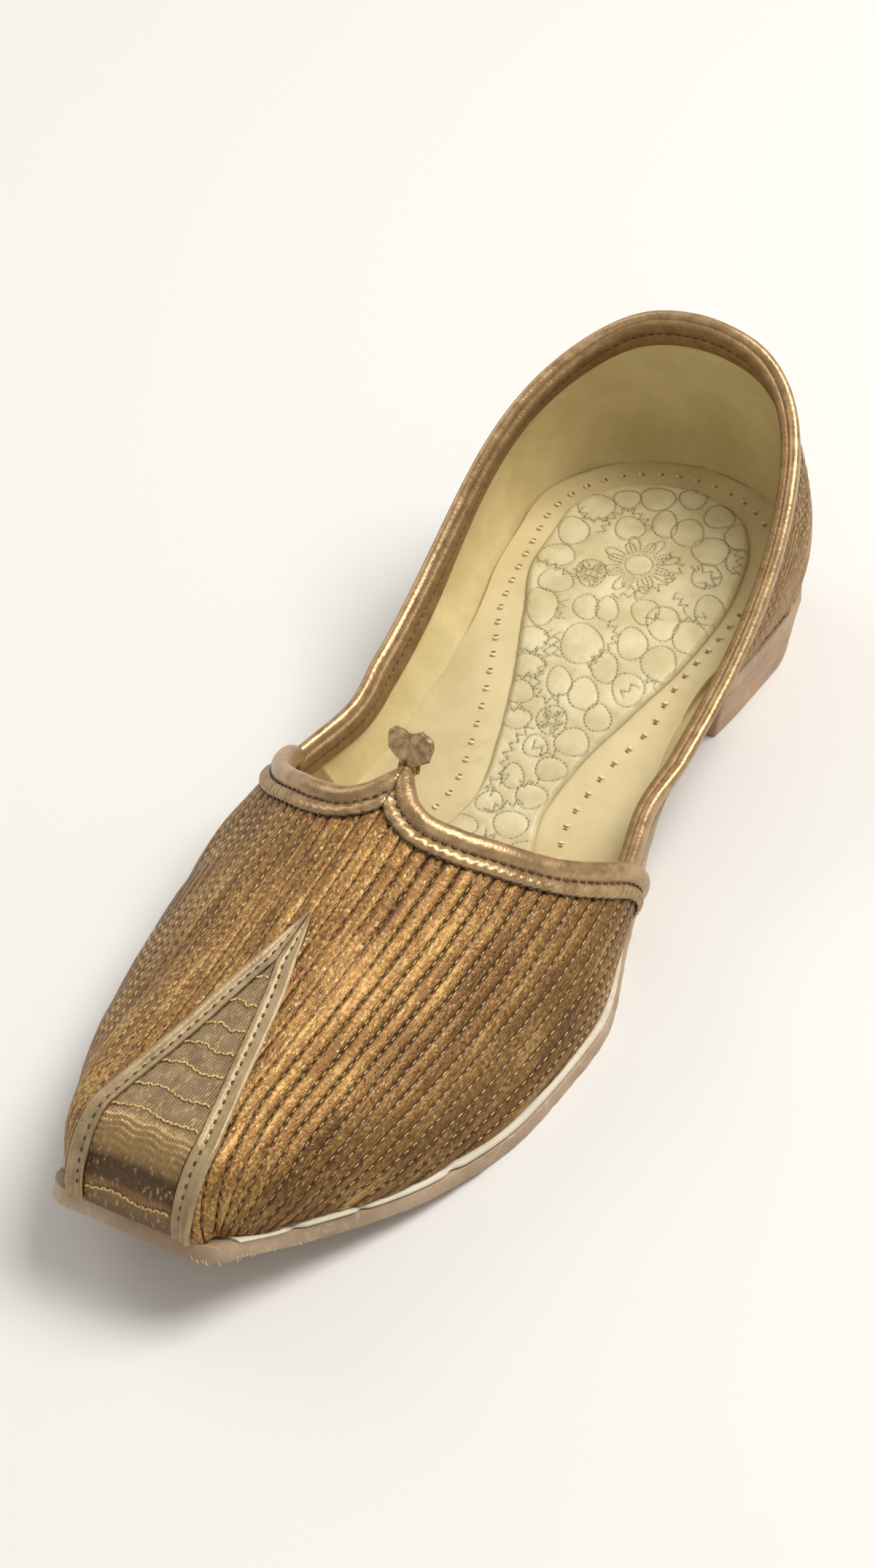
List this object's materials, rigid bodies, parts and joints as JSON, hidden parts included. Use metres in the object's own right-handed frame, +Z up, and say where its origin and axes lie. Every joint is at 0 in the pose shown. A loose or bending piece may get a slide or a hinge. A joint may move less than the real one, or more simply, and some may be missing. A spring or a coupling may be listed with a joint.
{
  "type": "mojari shoe",
  "caption": "Low square-toed slip-on mojari with a pointed scalloped throat, rolled bindings, a toe triangle, padded insole and a low stacked heel; left foot.",
  "frame": {"origin": "middle of the shoe's bounding box, on the ground", "axes": "+Z up, toe towards -Y, heel towards +Y, outer side of the left shoe towards +X"},
  "size_m": [0.1072, 0.2806, 0.0821],
  "materials": {
    "brocade": "bronze tissue brocade, quilted lengthwise",
    "foil_leather": "metallic bronze foiled leather",
    "pale_leather": "pale gold leather with punched stitches",
    "ribbed_cloth": "ribbed taupe and gold cloth",
    "cream_leather": "smooth cream lining leather",
    "cream_rand": "cream rand strip",
    "tan_leather": "tan sole leather"
  },
  "bodies": {
    "root": {"outsole": "tan_leather", "heel": "tan_leather", "welt_outer": "cream_rand", "welt_inner": "cream_rand", "upper": "brocade", "throat_binding_outer": "foil_leather", "throat_binding_inner": "foil_leather", "topline_binding": "foil_leather", "throat_tab": "foil_leather", "toe_strip_outer": "pale_leather", "toe_strip_inner": "pale_leather", "toe_panel": "ribbed_cloth", "insole": "cream_leather", "insole_pad": "cream_leather"}
  },
  "joints": []
}
